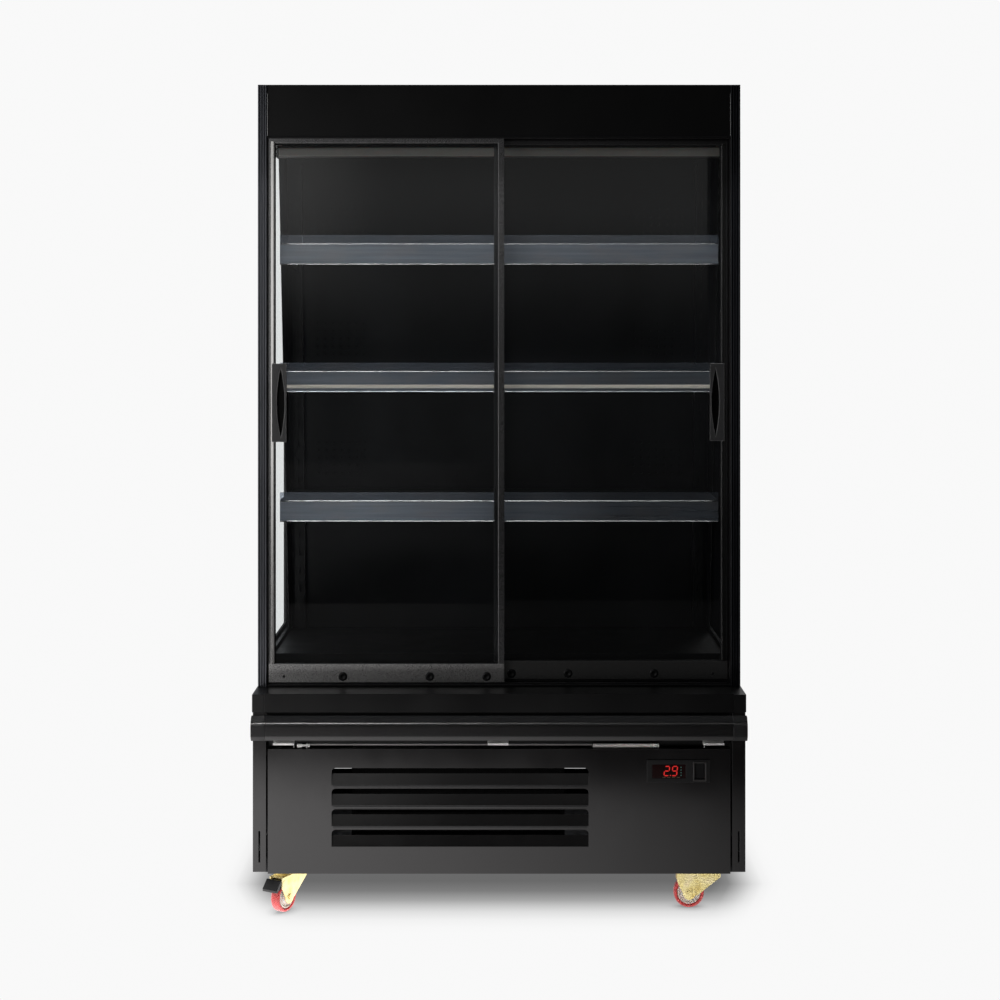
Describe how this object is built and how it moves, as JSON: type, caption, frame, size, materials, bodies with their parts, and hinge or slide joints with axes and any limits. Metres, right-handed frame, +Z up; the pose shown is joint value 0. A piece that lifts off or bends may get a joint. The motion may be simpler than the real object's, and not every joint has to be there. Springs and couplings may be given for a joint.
{
  "type": "refrigerated deli case",
  "caption": "Upright black chilled display case on castors, with sliding glass doors, glazed ends, open shelves and a louvred machine compartment in its base.",
  "frame": {"origin": "on the floor under the middle of the case's bounding box", "axes": "+Z up, +X to the right of someone facing the doors, front faces -Y"},
  "size_m": [1.2, 0.7, 2.03],
  "materials": {
    "black_paint": "semi-gloss powder coat",
    "satin_black": "satin powder coat",
    "inside_paint": "semi-gloss paint",
    "black_plastic": "fine-grained moulding",
    "tub_skin": "semi-gloss",
    "anodised": "dark anodised",
    "bare_aluminium": "mill finish",
    "galvanised": "zinc coated",
    "yellow_zinc": "yellow passivated zinc",
    "red_tread": "polyurethane",
    "nylon": "moulded",
    "clear_plastic": "clear extrusion",
    "glass": "clear"
  },
  "bodies": {
    "case": {"chassis_tray": "galvanised", "base_side_left": "black_paint", "base_side_right": "black_paint", "base_rear_grille": "black_paint", "front_panel": "satin_black", "bumper_rail": "black_plastic", "insulated_tub": "tub_skin", "ledge_fascia": "black_paint", "controller_bezel": "black_plastic", "end_frame_left": "black_paint", "end_frame_right": "black_paint", "end_glass_left": "glass", "end_glass_right": "glass", "rear_wall": "black_paint", "roof_panel": "black_paint", "header_fascia": "black_paint", "canopy_duct": "inside_paint", "led_lamp": "bare_aluminium", "back_duct_panel": "inside_paint", "shelf_upright_left": "inside_paint", "shelf_upright_right": "inside_paint", "deck_panel": "inside_paint", "return_air_grille": "inside_paint", "shelf_upper": "inside_paint", "price_strip_upper": "clear_plastic", "shelf_middle": "inside_paint", "price_strip_middle": "clear_plastic", "shelf_lower": "inside_paint", "price_strip_lower": "clear_plastic", "lower_track": "anodised", "upper_track": "anodised", "compressor": "black_paint", "condenser_coil": "bare_aluminium", "fan_shroud": "galvanised", "evaporator_coil": "bare_aluminium", "castor_front_left_plate": "yellow_zinc", "castor_front_right_plate": "yellow_zinc", "castor_rear_left_plate": "yellow_zinc", "castor_rear_right_plate": "yellow_zinc"},
    "door_left": {"door_left_frame": "anodised", "door_left_glass": "glass", "door_left_handle": "black_plastic"},
    "door_right": {"door_right_frame": "anodised", "door_right_glass": "glass", "door_right_handle": "black_plastic"},
    "light_switch": {"light_switch": "black_plastic"},
    "condenser_fan": {"condenser_fan": "black_plastic"},
    "door_left_outer_roller": {"door_left_outer_roller": "nylon"},
    "door_left_inner_roller": {"door_left_inner_roller": "nylon"},
    "door_right_outer_roller": {"door_right_outer_roller": "nylon"},
    "door_right_inner_roller": {"door_right_inner_roller": "nylon"},
    "castor_front_left_fork": {"castor_front_left_fork": "yellow_zinc"},
    "castor_front_left_wheel": {"castor_front_left_wheel": "red_tread"},
    "castor_front_left_brake_pedal": {"castor_front_left_brake_pedal": "black_plastic"},
    "castor_front_right_fork": {"castor_front_right_fork": "yellow_zinc"},
    "castor_front_right_wheel": {"castor_front_right_wheel": "red_tread"},
    "castor_rear_left_fork": {"castor_rear_left_fork": "yellow_zinc"},
    "castor_rear_left_wheel": {"castor_rear_left_wheel": "red_tread"},
    "castor_rear_right_fork": {"castor_rear_right_fork": "yellow_zinc"},
    "castor_rear_right_wheel": {"castor_rear_right_wheel": "red_tread"}
  },
  "joints": [
    {"name": "door_left_slide", "type": "slide", "parent": "case", "child": "door_left", "axis": [1, 0, 0], "range_m": [0, 0.555]},
    {"name": "door_right_slide", "type": "slide", "parent": "case", "child": "door_right", "axis": [-1, 0, 0], "range_m": [0, 0.555]},
    {"name": "door_left_outer_roller_spin", "type": "hinge", "parent": "door_left", "child": "door_left_outer_roller", "pos_m": [-0.511, -0.227, 0.5605], "axis": [0, 1, 0], "continuous": true},
    {"name": "door_left_inner_roller_spin", "type": "hinge", "parent": "door_left", "child": "door_left_inner_roller", "pos_m": [-0.047, -0.227, 0.5605], "axis": [0, 1, 0], "continuous": true},
    {"name": "door_right_outer_roller_spin", "type": "hinge", "parent": "door_right", "child": "door_right_outer_roller", "pos_m": [0.511, -0.187, 0.5605], "axis": [0, -1, 0], "continuous": true},
    {"name": "door_right_inner_roller_spin", "type": "hinge", "parent": "door_right", "child": "door_right_inner_roller", "pos_m": [0.047, -0.187, 0.5605], "axis": [0, -1, 0], "continuous": true},
    {"name": "light_switch_rock", "type": "hinge", "parent": "case", "child": "light_switch", "pos_m": [0.486, -0.333, 0.355], "axis": [1, 0, 0], "range_deg": [0, 14]},
    {"name": "condenser_fan_spin", "type": "hinge", "parent": "case", "child": "condenser_fan", "pos_m": [-0.1, -0.205, 0.27], "axis": [0, 1, 0], "continuous": true},
    {"name": "castor_front_left_swivel", "type": "hinge", "parent": "case", "child": "castor_front_left_fork", "pos_m": [-0.508, -0.25, 0], "axis": [0, 0, 1], "continuous": true},
    {"name": "castor_front_left_wheel_spin", "type": "hinge", "parent": "castor_front_left_fork", "child": "castor_front_left_wheel", "pos_m": [-0.528, -0.28464, 0.0375], "axis": [0.866, -0.5, 0], "continuous": true},
    {"name": "castor_front_left_brake_pedal_press", "type": "hinge", "parent": "castor_front_left_fork", "child": "castor_front_left_brake_pedal", "pos_m": [-0.5395, -0.30456, 0.079], "axis": [-0.866, 0.5, 0], "range_deg": [0, 18]},
    {"name": "castor_front_right_swivel", "type": "hinge", "parent": "case", "child": "castor_front_right_fork", "pos_m": [0.508, -0.25, 0], "axis": [0, 0, 1], "continuous": true},
    {"name": "castor_front_right_wheel_spin", "type": "hinge", "parent": "castor_front_right_fork", "child": "castor_front_right_wheel", "pos_m": [0.468, -0.25, 0.0375], "axis": [0, -1, 0], "continuous": true},
    {"name": "castor_rear_left_swivel", "type": "hinge", "parent": "case", "child": "castor_rear_left_fork", "pos_m": [-0.508, 0.258, 0], "axis": [0, 0, 1], "continuous": true},
    {"name": "castor_rear_left_wheel_spin", "type": "hinge", "parent": "castor_rear_left_fork", "child": "castor_rear_left_wheel", "pos_m": [-0.48922, 0.29332, 0.0375], "axis": [-0.8829, 0.4695, 0], "continuous": true},
    {"name": "castor_rear_right_swivel", "type": "hinge", "parent": "case", "child": "castor_rear_right_fork", "pos_m": [0.508, 0.258, 0], "axis": [0, 0, 1], "continuous": true},
    {"name": "castor_rear_right_wheel_spin", "type": "hinge", "parent": "castor_rear_right_fork", "child": "castor_rear_right_wheel", "pos_m": [0.48922, 0.29332, 0.0375], "axis": [-0.8829, -0.4695, 0], "continuous": true}
  ],
  "couplings": [
    {"joint": "door_left_outer_roller_spin", "follows": "door_left_slide", "rad_per_m": 83.333},
    {"joint": "door_left_inner_roller_spin", "follows": "door_left_slide", "rad_per_m": 83.333},
    {"joint": "door_right_outer_roller_spin", "follows": "door_right_slide", "rad_per_m": 83.333},
    {"joint": "door_right_inner_roller_spin", "follows": "door_right_slide", "rad_per_m": 83.333}
  ]
}
